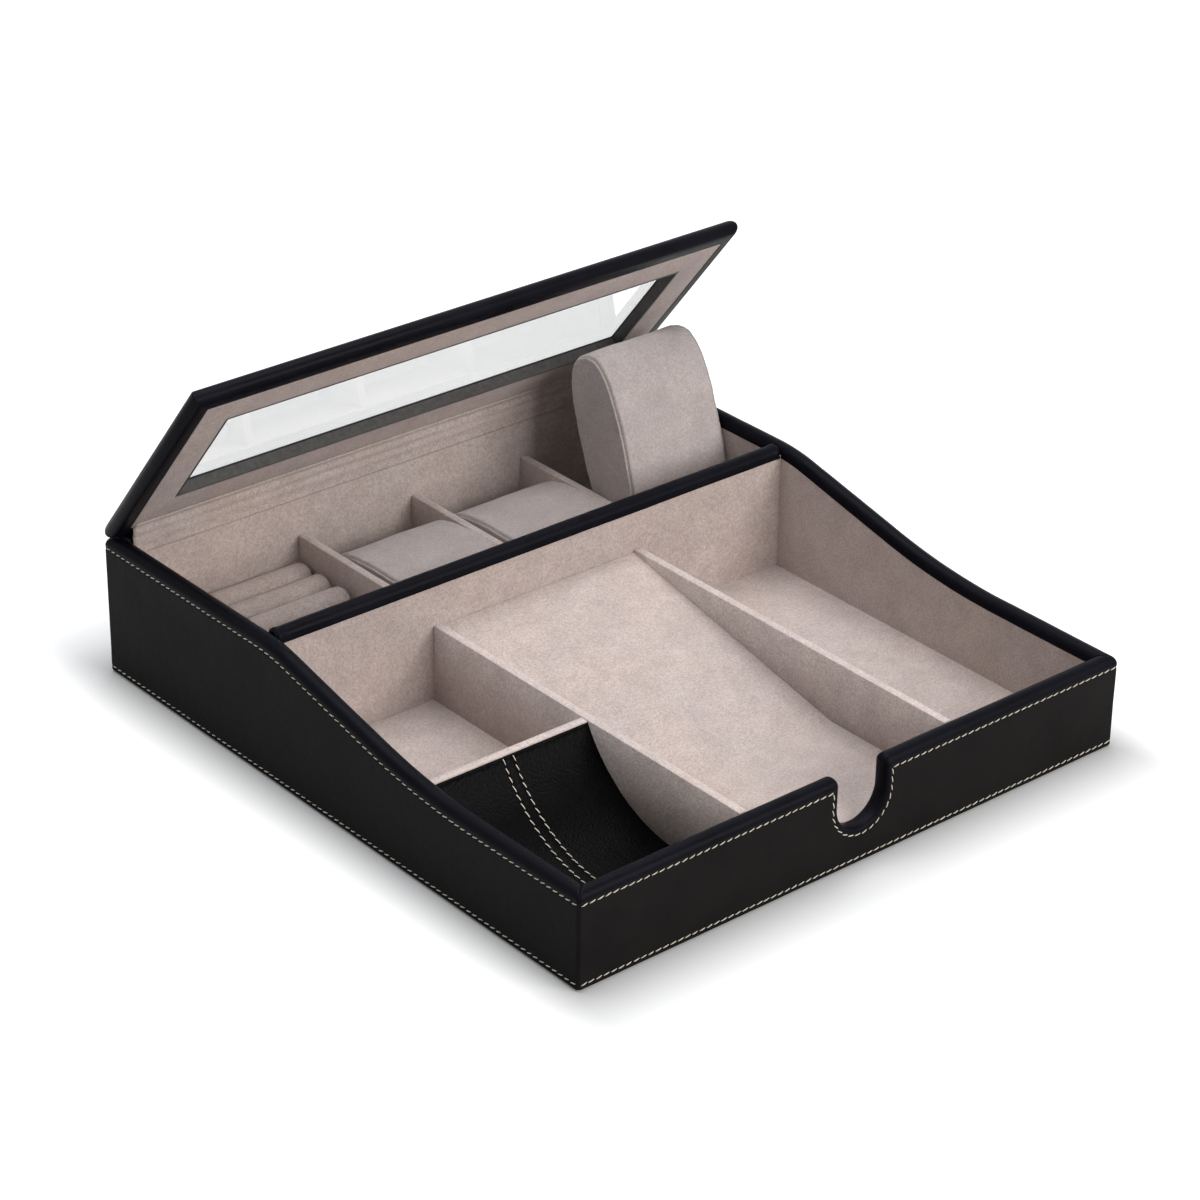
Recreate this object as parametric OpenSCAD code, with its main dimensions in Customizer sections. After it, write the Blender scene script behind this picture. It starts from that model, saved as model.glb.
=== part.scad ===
// Valet tray: a leather wrapped box with a sloped front, watch cells under a
// hinged glass lid, a key cell, a coin scoop, a phone deck and a glasses cell.
// Millimetres, +Z up, front towards -Y, origin at the centre of the footprint.

/* [Box] */
// Overall width, left to right
box_w = 300; // [285:1:340]
// Overall depth, front to back
box_d = 325; // [318:1:360]
// Height of the rims round the watch cells
rim_high = 67.3; // [66.5:0.1:75]
// Height of the rims round the open cells
rim_low = 44.8; // [43.8:0.1:50]
// Thickness of a finished wall, leather to lining
wall_t = 8; // [7:0.1:9]
// Thickness of the leather
leather_t = 1.2; // [0.8:0.1:1.4]
// Thickness of the suede lining
lining_t = 1.2; // [0.8:0.1:1.4]
// Thickness of the base board
base_t = 4; // [3:0.1:4.4]
// Thickness of the felt under the base
felt_t = 1; // [0.6:0.1:1.2]
// How far the felt stops short of the outer faces
felt_inset = 3; // [2:0.5:8]
// Height of the leather's lower edge above the table
leather_lift = 0.4; // [0.2:0.1:0.5]

/* [Side curve] */
// Length of the high level part of the side rims
level_l = 112.5; // [105:0.5:125]
// Steepest angle of the side rims
slope_angle = 12.6; // [11:0.1:14]
// Radius of the crest at the top of the slope
crest_r = 100; // [90:1:110]
// Radius of the dip at the foot of the slope
dip_r = 300; // [260:1:320]

/* [Lid] */
// Length of the lid, hinge edge to front edge
lid_l = 119; // [116:0.5:121]
// Thickness of the lid
lid_t = 8; // [7.5:0.1:9]
// Angle at which the lid stands open at rest
lid_open = 51.7; // [48:0.1:60]
// Gap between the closed lid and the rims
lid_gap = 0.3; // [0.2:0.05:0.6]
// Width of the lid's frame at the two sides of the window
window_side = 25; // [20:0.5:35]
// Width of the lid's frame in front of the window
window_front = 25; // [20:0.5:35]
// Width of the lid's frame behind the window
window_rear = 28; // [22:0.5:36]
// Thickness of the black trim that lines the window
trim_t = 1; // [0.8:0.1:2]
// Thickness of the glass
glass_t = 1.5; // [1:0.1:2]
// How far the glass reaches into the frame
glass_lip = 3; // [2:0.1:6]
// How far the top leather covers the edge of the glass
glass_cover = 1.5; // [0.5:0.1:2]

/* [Hinge strips] */
// How far the suede strip reaches down the back wall
hinge_strip_h = 14; // [8:0.5:20]
// Thickness of the suede strip
hinge_strip_t = 1; // [0.6:0.1:1.4]
// How far the leather spine reaches down the back wall
spine_h = 13; // [8:0.5:20]
// How far the strips stop short of the inner side faces
strip_end_gap = 1; // [0.5:0.1:3]

/* [Watch cells] */
// Clear width of one watch cell
watch_cell_w = 60.7; // [56:0.1:64]
// Thickness of a divider
divider_t = 4; // [3:0.1:5]
// Height of the dividers between the watch cells
watch_divider_top = 39.5; // [36:0.1:42]

/* [Front cells] */
// Height of the dividers of the open cells
front_divider_top = 43.2; // [42.6:0.1:43.5]
// Clear width of the key cell and the coin scoop
key_cell_w = 81.5; // [75:0.5:88]
// Clear depth of the key cell, as a share of what it and the coin scoop share
key_cell_share = 0.5155; // [0.46:0.0005:0.54]
// Clear width of the glasses cell
glasses_cell_w = 84.7; // [78:0.5:90]

/* [Phone deck] */
// Thickness of the phone deck
deck_t = 4; // [3:0.1:4.5]
// Height of the deck's top at the centre wall
deck_rear_top = 42; // [36:0.1:42.5]
// Height of the deck's top at the cable notch
deck_front_top = 14; // [12:0.1:17]
// Length of the level part of the deck behind the cable notch
deck_level_l = 66.5; // [40:0.5:80]
// Depth of the rail under the deck's level part
deck_rail_d = 20; // [10:0.5:30]

/* [Coin scoop] */
// Thickness of the scoop
scoop_t = 2.8; // [2:0.1:3]
// Height of the scoop's lowest line
scoop_low = 8.2; // [8.2:0.1:10]
// Distance of the lowest line from the front wall, as a share of the cell's depth
scoop_low_share = 0.383; // [0.34:0.001:0.46]

/* [Cable notch] */
// Clear width of the cable notch
notch_w = 26.4; // [20:0.1:32]
// Height of the lowest point of the cable notch
notch_bottom = 17.4; // [15:0.1:20]

/* [Ring rolls] */
// Number of ring rolls
ring_rolls = 7; // [6:1:8]
// Height of the tops of the ring rolls
ring_top = 29.5; // [26:0.1:34]
// Height of the filling between two rolls above their centre line
ring_fill = 2; // [1:0.1:4]

/* [Watch pillows] */
// Length of a pillow, front to back when it lies down
pillow_l = 85; // [82:0.5:85]
// Thickness of a pillow
pillow_t = 34; // [32:0.1:34]
// Roundness of a pillow's section, 2 is an ellipse
pillow_power = 2.6; // [2:0.1:2.6]
// Bulge of a pillow's end caps
pillow_cap_bulge = 2; // [1:0.1:3]
// Share by which a pillow's section draws in at its end seams
pillow_draw_share = 0.07; // [0.03:0.01:0.12]
// Gap between a pillow and what is round it
pillow_gap = 0.3; // [0.3:0.05:0.8]
// Gap between a lying pillow and the centre wall
pillow_front_gap = 1; // [1:0.1:2]
// Tilt of the pillow that stands up at rest
pillow_tilt = 70; // [68:0.5:72]
// Shift of the standing pillow's middle towards the back
stand_shift = 6; // [5.5:0.1:6.2]
// Rise of the standing pillow's middle
stand_rise = 41.3; // [40.8:0.1:41.5]

/* [Hidden] */
$fn = 96;

leather_colour = "#1b1b20";
suede_colour = "#b8a9a2";
pillow_colour = "#c2b8b4";
board_colour = "#b08a5a";
felt_colour = "#202022";
trim_colour = "#2a2926";
glass_colour = "#dfe8ea";

overrun = 1;

// Box planes
side_x = box_w / 2;
end_y = box_d / 2;
inner_x = side_x - wall_t;
inner_y = end_y - wall_t;
roll_r = wall_t / 2;
board_bottom = felt_t;
board_top = board_bottom + base_t;
floor_top = board_top + lining_t;
centre_front_y = end_y - lid_l;
centre_rear_y = centre_front_y + wall_t;
cell_d = inner_y - centre_rear_y;

// Side curve, from the high level part down to the low one
crest_y = end_y - level_l;
slope_drop = rim_high - rim_low - (crest_r + dip_r) * (1 - cos(slope_angle));
slope_l = slope_drop / sin(slope_angle);
slope_top_y = crest_y - crest_r * sin(slope_angle);
slope_top_z = rim_high - crest_r * (1 - cos(slope_angle));
slope_end_y = slope_top_y - slope_l * cos(slope_angle);
slope_end_z = slope_top_z - slope_l * sin(slope_angle);
dip_y = slope_end_y - dip_r * sin(slope_angle);
hairline = leather_t / 60;
key_half = leather_t / 2;

// Dividers, placed from the cells they bound
watch_divider_right_x = inner_x - watch_cell_w - divider_t;
watch_divider_middle_x = watch_divider_right_x - watch_cell_w - divider_t;
watch_divider_left_x = watch_divider_middle_x - watch_cell_w - divider_t;
key_divider_x = -inner_x + key_cell_w;
glasses_divider_x = inner_x - glasses_cell_w - divider_t;
key_cell_d = key_cell_share * (inner_y + centre_front_y - divider_t);
cross_divider_y = centre_front_y - key_cell_d - divider_t;

// Coin scoop, an arc from its lowest line up to the top of the cross divider
scoop_d = inner_y + cross_divider_y;
scoop_low_y = -inner_y + scoop_low_share * scoop_d;
scoop_reach = cross_divider_y - scoop_low_y;
scoop_rise = front_divider_top - scoop_low;
scoop_r = (scoop_reach * scoop_reach + scoop_rise * scoop_rise) / (2 * scoop_rise);

// Lid, with its hinge axis in the middle of its rounded rear edge
hinge_y = end_y - lid_t / 2;
hinge_z = rim_high + lid_gap + lid_t / 2;
lid_front_y = end_y - lid_l;
lid_bottom = rim_high + lid_gap;
lid_top = lid_bottom + lid_t;
window_x = side_x - window_side;
window_y0 = lid_front_y + window_front;
window_y1 = end_y - window_rear;
glass_top = lid_top - leather_t;
glass_bottom = glass_top - glass_t;

// Pillows: lying down in their cells, and the one that stands up
pillow_w = watch_cell_w - 2 * pillow_gap;
lie_y = centre_rear_y + pillow_front_gap + pillow_l / 2;
lie_z = floor_top + pillow_gap + pillow_t / 2;
stand_reach = 1 / (2 * tan(pillow_tilt / 2));
tilt_axis_y = lie_y + stand_shift / 2 - stand_rise * stand_reach;
tilt_axis_z = lie_z + stand_rise / 2 + stand_shift * stand_reach;
pillow_sides = 40;
pillow_rings = 9;
// Places and sizes of a pillow's cap rings, as shares of the bulge and of the seam's section
cap_place_shares = [0, 0.2, 0.55];
cap_size_shares = [0, 0.5, 0.85];

// Plan outlines that mitre the walls at the corners
module side_mitre(bottom) {
    translate([0, 0, bottom])
        linear_extrude(rim_high + overrun)
            polygon([[-side_x, -end_y], [-side_x, end_y], [-inner_x, inner_y], [-inner_x, -inner_y]]);
}

module front_mitre(bottom) {
    translate([0, 0, bottom])
        linear_extrude(rim_high + overrun)
            polygon([[-side_x, -end_y], [side_x, -end_y], [inner_x, -inner_y], [-inner_x, -inner_y]]);
}

// Wall sections: x runs inwards from the outer face, y up from the rim's top
module section_drop(from_x, to_x) {
    translate([from_x, -rim_high - overrun])
        square([to_x - from_x, rim_high + overrun - roll_r]);
}

module section_roll(radius) {
    translate([roll_r, -roll_r])
        difference() {
            circle(radius);
            translate([-wall_t, -wall_t])
                square([2 * wall_t, wall_t]);
        }
}

module section_roll_skin(inset) {
    difference() {
        section_roll(roll_r - inset);
        section_roll(roll_r - leather_t + inset);
    }
}

// The section of one layer of a wall, drawn in on all sides by inset
module wall_section(layer, inset = 0) {
    if (layer == "cover") {
        section_roll_skin(inset);
        section_drop(inset, leather_t - inset);
    }
    if (layer == "core") {
        section_roll(roll_r - leather_t - inset);
        section_drop(leather_t + inset, wall_t - lining_t - inset);
    }
    if (layer == "lining")
        translate([0, -inset])
            section_drop(wall_t - lining_t + inset, wall_t - inset);
}

// A length of wall that runs forwards from a point of the rim, tilted down by tilt
module side_length(y, z, tilt, from_d, to_d) {
    translate([-side_x, y, z])
        rotate([90 + tilt, 0, 0])
            translate([0, 0, from_d])
                linear_extrude(to_d - from_d)
                    children();
}

// One layer of the left wall along its curve. Straight and bent lengths meet
// at hairline grooves, and a key that is a hairline slimmer joins them.
module side_sweep(layer) {
    side_length(end_y, rim_high, 0, 0, level_l - hairline)
        wall_section(layer);
    translate([-side_x, crest_y, rim_high - crest_r])
        rotate([180, -90, 0])
            rotate_extrude(angle = slope_angle)
                translate([crest_r, 0])
                    mirror([1, -1, 0])
                        wall_section(layer);
    side_length(slope_top_y, slope_top_z, slope_angle, hairline, slope_l - hairline)
        wall_section(layer);
    translate([-side_x, dip_y, rim_low + dip_r])
        rotate([0, 90, 0])
            rotate_extrude(angle = slope_angle)
                translate([dip_r, 0])
                    rotate(90)
                        wall_section(layer);
    side_length(dip_y, rim_low, 0, hairline, dip_y + end_y)
        wall_section(layer);
    for (joint = [[crest_y, rim_high, 0], [slope_top_y, slope_top_z, slope_angle],
                  [slope_end_y, slope_end_z, slope_angle], [dip_y, rim_low, 0]])
        side_length(joint[0], joint[1], joint[2], -key_half, key_half)
            wall_section(layer, hairline);
}

// A wall section carried straight across, with its outer face towards the front
module cross_sweep(face_y, top, half_w) {
    translate([-half_w, face_y, top])
        rotate([90, 0, 90])
            linear_extrude(2 * half_w)
                children();
}

module whole_section() {
    section_roll(roll_r);
    section_drop(0, wall_t);
}

module centre_core_section() {
    section_roll(roll_r - leather_t);
    section_drop(lining_t, wall_t - lining_t);
}

module left_piece(layer, bottom) {
    intersection() {
        side_sweep(layer);
        side_mitre(bottom);
    }
}

module right_piece(layer, bottom) {
    mirror([1, 0, 0])
        left_piece(layer, bottom);
}

module front_piece(layer, bottom) {
    intersection() {
        cross_sweep(-end_y, rim_low, side_x)
            wall_section(layer);
        front_mitre(bottom);
    }
}

module back_piece(layer, bottom) {
    mirror([0, 1, 0])
        intersection() {
            cross_sweep(-end_y, rim_high, side_x)
                wall_section(layer);
            front_mitre(bottom);
        }
}

// Outline of the cable notch, a half round with an open top
module notch_outline(half_w) {
    notch_centre = notch_bottom + notch_w / 2;
    translate([0, notch_centre]) {
        difference() {
            circle(half_w);
            translate([-side_x, 0])
                square([box_w, half_w + overrun]);
        }
        translate([-half_w, 0])
            square([2 * half_w, rim_low]);
    }
}

module notch_cut() {
    translate([0, -inner_y + overrun, 0])
        rotate([90, 0, 0])
            linear_extrude(wall_t + 2 * overrun)
                notch_outline(notch_w / 2 + leather_t);
}

// Boards and felt
module base_board() {
    color(board_colour)
        translate([-inner_x - lining_t, -inner_y - lining_t, board_bottom])
            cube([2 * (inner_x + lining_t), 2 * (inner_y + lining_t), base_t]);
}

module bottom_felt() {
    color(felt_colour)
        translate([-side_x + felt_inset, -end_y + felt_inset, 0])
            cube([box_w - 2 * felt_inset, box_d - 2 * felt_inset, felt_t]);
}

module left_wall_core() {
    color(board_colour)
        left_piece("core", board_bottom);
}

module right_wall_core() {
    color(board_colour)
        right_piece("core", board_bottom);
}

module front_wall_core() {
    color(board_colour)
        difference() {
            front_piece("core", board_bottom);
            notch_cut();
        }
}

module back_wall_core() {
    color(board_colour)
        back_piece("core", board_bottom);
}

module centre_wall_core() {
    color(board_colour)
        intersection() {
            cross_sweep(centre_front_y, rim_high, inner_x)
                centre_core_section();
            above(board_top);
        }
}

// All space above a level
module above(bottom) {
    translate([-side_x, -end_y, bottom])
        cube([box_w, box_d, rim_high]);
}

// Leather
module left_cover() {
    color(leather_colour)
        left_piece("cover", leather_lift);
}

module right_cover() {
    color(leather_colour)
        right_piece("cover", leather_lift);
}

module front_cover() {
    color(leather_colour)
        difference() {
            front_piece("cover", leather_lift);
            notch_cut();
        }
}

module back_cover() {
    color(leather_colour)
        difference() {
            back_piece("cover", leather_lift);
            spine_space();
        }
}

module centre_wall_cover() {
    color(leather_colour)
        cross_sweep(centre_front_y, rim_high, inner_x)
            section_roll_skin(0);
}

module notch_liner() {
    color(leather_colour)
        intersection() {
            cross_sweep(-end_y, rim_low, inner_x)
                whole_section();
            translate([0, -inner_y, 0])
                rotate([90, 0, 0])
                    linear_extrude(wall_t)
                        difference() {
                            notch_outline(notch_w / 2 + leather_t);
                            notch_outline(notch_w / 2);
                        }
        }
}

// Suede on the walls and the floors
module left_lining() {
    color(suede_colour)
        left_piece("lining", board_top);
}

module right_lining() {
    color(suede_colour)
        right_piece("lining", board_top);
}

module front_lining() {
    color(suede_colour)
        difference() {
            front_piece("lining", board_top);
            notch_cut();
        }
}

module back_lining() {
    color(suede_colour)
        back_piece("lining", board_top);
}

module centre_lining(face_y) {
    translate([-inner_x, face_y, board_top])
        cube([2 * inner_x, lining_t, rim_high - roll_r - board_top]);
}

module centre_wall_front_lining() {
    color(suede_colour)
        centre_lining(centre_front_y);
}

module centre_wall_rear_lining() {
    color(suede_colour)
        centre_lining(centre_rear_y - lining_t);
}

module floor_panel(x0, x1, y0, y1) {
    color(suede_colour)
        translate([x0, y0, board_top])
            cube([x1 - x0, y1 - y0, lining_t]);
}

module watch_floor_lining() {
    floor_panel(-inner_x, inner_x, centre_rear_y, inner_y);
}

module key_floor_lining() {
    floor_panel(-inner_x, key_divider_x, cross_divider_y + divider_t, centre_front_y);
}

module glasses_floor_lining() {
    floor_panel(glasses_divider_x + divider_t, inner_x, -inner_y, centre_front_y);
}

// Dividers
module watch_divider(x) {
    color(suede_colour)
        translate([x, centre_rear_y, floor_top])
            cube([divider_t, cell_d, watch_divider_top - floor_top]);
}

module watch_divider_left() {
    watch_divider(watch_divider_left_x);
}

module watch_divider_middle() {
    watch_divider(watch_divider_middle_x);
}

module watch_divider_right() {
    watch_divider(watch_divider_right_x);
}

module long_divider(x) {
    color(suede_colour)
        translate([x, -inner_y, board_top])
            cube([divider_t, inner_y + centre_front_y, front_divider_top - board_top]);
}

module key_divider() {
    long_divider(key_divider_x);
}

module glasses_divider() {
    long_divider(glasses_divider_x);
}

module cross_divider() {
    color(suede_colour)
        translate([-inner_x, cross_divider_y, board_top])
            cube([key_cell_w, divider_t, front_divider_top - board_top]);
}

// An outline in the Y and Z plane carried from x0 to x1
module along_x(x0, x1) {
    translate([x0, 0, 0])
        rotate([90, 0, 90])
            linear_extrude(x1 - x0)
                children();
}

// Phone deck: a slope from the centre wall to a level part behind the notch
module phone_deck() {
    bend_y = -inner_y + deck_level_l;
    color(suede_colour)
        along_x(key_divider_x + divider_t, glasses_divider_x)
            polygon([[centre_front_y, deck_rear_top], [bend_y, deck_front_top], [-inner_y, deck_front_top],
                     [-inner_y, deck_front_top - deck_t], [bend_y, deck_front_top - deck_t],
                     [centre_front_y, deck_rear_top - deck_t]]);
}

module deck_rail() {
    color(board_colour)
        translate([key_divider_x + divider_t, -inner_y, board_top])
            cube([glasses_divider_x - key_divider_x - divider_t, deck_rail_d,
                  deck_front_top - deck_t - board_top]);
}

// Coin scoop: a shell bent round a line above the cell
module coin_scoop() {
    color(leather_colour)
        along_x(-inner_x, key_divider_x)
            intersection() {
                translate([scoop_low_y, scoop_low + scoop_r])
                    difference() {
                        circle(scoop_r + scoop_t);
                        circle(scoop_r);
                    }
                translate([-inner_y, board_top])
                    square([scoop_d, front_divider_top - board_top]);
            }
}

// Ring rolls side by side on a soft filling
module ring_roll_pad() {
    pad_x0 = -inner_x + pillow_gap;
    pad_w = watch_divider_left_x - pillow_gap - pad_x0;
    pad_d = cell_d - 2 * pillow_gap;
    pad_y0 = centre_rear_y + pillow_gap;
    ring_r = pad_d / ring_rolls / 2;
    ring_z = ring_top - ring_r;
    color(pillow_colour) {
        translate([pad_x0, pad_y0, floor_top])
            cube([pad_w, pad_d, ring_z + ring_fill - floor_top]);
        for (i = [0 : ring_rolls - 1])
            translate([pad_x0, pad_y0 + ring_r * (2 * i + 1), ring_z])
                rotate([0, 90, 0])
                    cylinder(r = ring_r, h = pad_w);
    }
}

// Soft hinge: a suede strip inside and a leather spine outside
module hinge_lining() {
    color(suede_colour)
        translate([-inner_x + strip_end_gap, inner_y - hinge_strip_t, rim_high - lid_gap - hinge_strip_h])
            cube([2 * (inner_x - strip_end_gap), hinge_strip_t, hinge_strip_h]);
}

module spine_space() {
    translate([-inner_x + strip_end_gap, end_y - leather_t / 2, rim_high - roll_r - spine_h])
        cube([2 * (inner_x - strip_end_gap), leather_t, spine_h]);
}

module hinge_spine() {
    color(leather_colour)
        translate([-inner_x + strip_end_gap, end_y - leather_t / 2, rim_high - roll_r - spine_h])
            cube([2 * (inner_x - strip_end_gap), leather_t / 2, spine_h]);
}

// Lid, drawn closed and turned open about the hinge axis
module opened() {
    translate([0, hinge_y, hinge_z])
        rotate([-lid_open, 0, 0])
            translate([0, -hinge_y, -hinge_z])
                children();
}

// A section with both ends round, as long as len and as thick as the lid less the inset
module round_ended(len, inset) {
    r = lid_t / 2 - inset;
    for (u = [lid_t / 2, len - lid_t / 2])
        translate([u, 0])
            circle(r);
    translate([lid_t / 2, -r])
        square([len - lid_t, 2 * r]);
}

// The lid's slab with rounded edges and mitred corners
module lid_slab(inset) {
    intersection() {
        translate([-side_x, lid_front_y, hinge_z])
            rotate([90, 0, 90])
                linear_extrude(box_w)
                    round_ended(lid_l, inset);
        translate([-side_x, end_y, hinge_z])
            rotate([90, 0, 0])
                linear_extrude(lid_l)
                    round_ended(box_w, inset);
    }
}

// A prism over the window, grown by margin, between two levels
module window_prism(margin, z0, z1) {
    translate([-window_x - margin, window_y0 - margin, z0])
        cube([2 * (window_x + margin), window_y1 - window_y0 + 2 * margin, z1 - z0]);
}

// The recess in the underside that takes the suede panel
module lining_block() {
    translate([-inner_x, lid_front_y + wall_t, lid_bottom])
        cube([2 * inner_x, lid_l - 2 * wall_t, lining_t]);
}

module lid_frame() {
    color(board_colour)
        opened()
            difference() {
                lid_slab(leather_t);
                window_prism(trim_t, lid_bottom - overrun, lid_top + overrun);
                window_prism(glass_lip, glass_bottom, lid_top + overrun);
                lining_block();
            }
}

module lid_cover() {
    color(leather_colour)
        opened()
            difference() {
                lid_slab(0);
                lid_slab(leather_t);
                window_prism(glass_lip - glass_cover, lid_bottom - overrun, lid_top + overrun);
                lining_block();
            }
}

module lid_lining() {
    color(suede_colour)
        opened()
            difference() {
                lining_block();
                window_prism(trim_t, lid_bottom - overrun, lid_top);
            }
}

module window_trim() {
    color(trim_colour)
        opened()
            difference() {
                window_prism(trim_t, lid_bottom, glass_bottom);
                window_prism(0, lid_bottom - overrun, lid_top);
            }
}

module lid_glass() {
    color(glass_colour, 0.35)
        opened()
            window_prism(glass_lip, glass_bottom, glass_top);
}

// Pillow: a crowned roll with an oval section, seams at its ends and soft end caps
function signed_power(v, power) = sign(v) * pow(abs(v), power);

function pillow_ring(x, size) = [for (j = [0 : pillow_sides - 1])
    let (turn = 360 * j / pillow_sides)
        [x,
         size * pillow_l / 2 * signed_power(cos(turn), 2 / pillow_power),
         size * pillow_t / 2 * signed_power(sin(turn), 2 / pillow_power)]];

function pillow_size(x_share) = 1 - pillow_draw_share * pow(abs(x_share), 4);

// Rings from the left cap to the right one, each as its place and its size
pillow_seam = 1 - pillow_draw_share;
pillow_half = pillow_w / 2;
pillow_body_half = pillow_half - pillow_cap_bulge;
pillow_places = concat(
    [for (i = [1, 2]) [-pillow_half + cap_place_shares[i] * pillow_cap_bulge, cap_size_shares[i] * pillow_seam]],
    [for (i = [0 : pillow_rings - 1])
        let (x_share = 2 * i / (pillow_rings - 1) - 1)
            [x_share * pillow_body_half, pillow_size(x_share)]],
    [for (i = [2, 1]) [pillow_half - cap_place_shares[i] * pillow_cap_bulge, cap_size_shares[i] * pillow_seam]]);

module pillow() {
    rings = len(pillow_places);
    tip_a = rings * pillow_sides;
    tip_b = tip_a + 1;
    ring_points = [for (place = pillow_places) each pillow_ring(place[0], place[1])];
    side_faces = [for (i = [0 : rings - 2], j = [0 : pillow_sides - 1])
        let (a = i * pillow_sides + j,
             b = i * pillow_sides + (j + 1) % pillow_sides,
             c = b + pillow_sides,
             d = a + pillow_sides)
            each [[a, b, c], [a, c, d]]];
    cap_a = [for (j = [0 : pillow_sides - 1]) [tip_a, (j + 1) % pillow_sides, j]];
    last = (rings - 1) * pillow_sides;
    cap_b = [for (j = [0 : pillow_sides - 1]) [tip_b, last + j, last + (j + 1) % pillow_sides]];
    color(pillow_colour)
        polyhedron(points = concat(ring_points, [[-pillow_half, 0, 0], [pillow_half, 0, 0]]),
                   faces = concat(side_faces, cap_a, cap_b));
}

module lying_pillow(divider_x) {
    translate([divider_x + divider_t + watch_cell_w / 2, lie_y, lie_z])
        pillow();
}

module pillow_1() {
    lying_pillow(watch_divider_left_x);
}

module pillow_2() {
    lying_pillow(watch_divider_middle_x);
}

module pillow_3() {
    translate([0, tilt_axis_y, tilt_axis_z])
        rotate([pillow_tilt, 0, 0])
            translate([0, -tilt_axis_y, -tilt_axis_z])
                lying_pillow(watch_divider_right_x);
}

base_board();
bottom_felt();
left_wall_core();
right_wall_core();
front_wall_core();
back_wall_core();
centre_wall_core();
left_cover();
right_cover();
front_cover();
back_cover();
centre_wall_cover();
left_lining();
right_lining();
front_lining();
back_lining();
centre_wall_rear_lining();
centre_wall_front_lining();
watch_floor_lining();
key_floor_lining();
glasses_floor_lining();
watch_divider_left();
watch_divider_middle();
watch_divider_right();
key_divider();
cross_divider();
glasses_divider();
phone_deck();
deck_rail();
coin_scoop();
notch_liner();
ring_roll_pad();
hinge_lining();
hinge_spine();
lid_frame();
lid_cover();
lid_lining();
window_trim();
lid_glass();
pillow_1();
pillow_2();
pillow_3();
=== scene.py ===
import math
import random

import bpy
from mathutils import Matrix, Vector, noise


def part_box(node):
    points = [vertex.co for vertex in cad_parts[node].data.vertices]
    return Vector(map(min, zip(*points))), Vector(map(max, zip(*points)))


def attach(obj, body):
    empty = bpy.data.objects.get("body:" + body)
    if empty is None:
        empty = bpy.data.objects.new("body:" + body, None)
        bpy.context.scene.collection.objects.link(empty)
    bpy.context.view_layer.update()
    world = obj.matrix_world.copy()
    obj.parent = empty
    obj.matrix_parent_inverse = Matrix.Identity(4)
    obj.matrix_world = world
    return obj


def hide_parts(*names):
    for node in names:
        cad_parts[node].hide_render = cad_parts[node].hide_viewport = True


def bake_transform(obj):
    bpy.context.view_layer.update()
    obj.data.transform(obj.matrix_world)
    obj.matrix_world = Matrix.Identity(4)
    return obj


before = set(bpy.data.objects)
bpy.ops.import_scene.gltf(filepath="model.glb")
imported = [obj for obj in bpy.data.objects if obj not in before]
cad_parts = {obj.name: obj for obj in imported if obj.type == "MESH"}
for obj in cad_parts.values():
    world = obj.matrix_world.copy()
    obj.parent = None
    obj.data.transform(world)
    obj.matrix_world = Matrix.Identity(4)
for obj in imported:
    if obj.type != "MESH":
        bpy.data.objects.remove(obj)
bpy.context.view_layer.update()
MM = 0.001

# Sizes in mm, as in the source
SIDE_X, END_Y = 150.0, 162.5
WALL_THICK, ROLL_RADIUS = 8.0, 4.0
INNER_X, INNER_Y = SIDE_X - WALL_THICK, END_Y - WALL_THICK
RIM_HIGH, RIM_LOW = 67.3, 44.8
CENTRE_Y, CENTRE_Z = 47.5, 63.3
FLOOR_TOP = 6.2
LEVEL_LENGTH, SLOPE_DEGREES, CREST_RADIUS, DIP_RADIUS = 112.5, 12.6, 100.0, 300.0
CREST_Y = END_Y - LEVEL_LENGTH
SLOPE_SIN, SLOPE_COS = math.sin(math.radians(SLOPE_DEGREES)), math.cos(math.radians(SLOPE_DEGREES))
SLOPE_TOP = (CREST_Y - CREST_RADIUS * SLOPE_SIN, RIM_HIGH - CREST_RADIUS * (1 - SLOPE_COS))
SLOPE_LENGTH = (RIM_HIGH - RIM_LOW - (CREST_RADIUS + DIP_RADIUS) * (1 - SLOPE_COS)) / SLOPE_SIN
SLOPE_END_Y = SLOPE_TOP[0] - SLOPE_LENGTH * SLOPE_COS
DIP_Y = SLOPE_END_Y - DIP_RADIUS * SLOPE_SIN
NOTCH_HALF, NOTCH_BOTTOM = 13.2, 17.4
NOTCH_Z = NOTCH_BOTTOM + NOTCH_HALF
HINGE_Y, HINGE_Z = 158.5, 71.6
LID_OPEN = math.radians(51.7)
SCOOP_X0, SCOOP_X1, SCOOP_THICK = -142.0, -60.5, 2.8
CROSS_Y, DIVIDER_TOP = -60.507, 43.2
SCOOP_LOW = 8.2
SCOOP_LOW_Y = -INNER_Y + 0.383 * (INNER_Y + CROSS_Y)
SCOOP_REACH, SCOOP_RISE = CROSS_Y - SCOOP_LOW_Y, DIVIDER_TOP - SCOOP_LOW
SCOOP_RADIUS = (SCOOP_REACH ** 2 + SCOOP_RISE ** 2) / (2 * SCOOP_RISE)
PILLOW_LENGTH, PILLOW_THICK, PILLOW_POWER, PILLOW_VISIBLE_WIDTH = 85.0, 34.0, 2.6, 59.6
PILLOW_TILT = math.radians(70)
LYING_THICK, LYING_POWER, LYING_CROWN = 35.2, 3.0, 0.5
RING_COUNT, RING_TOP = 7, 29.5

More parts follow.
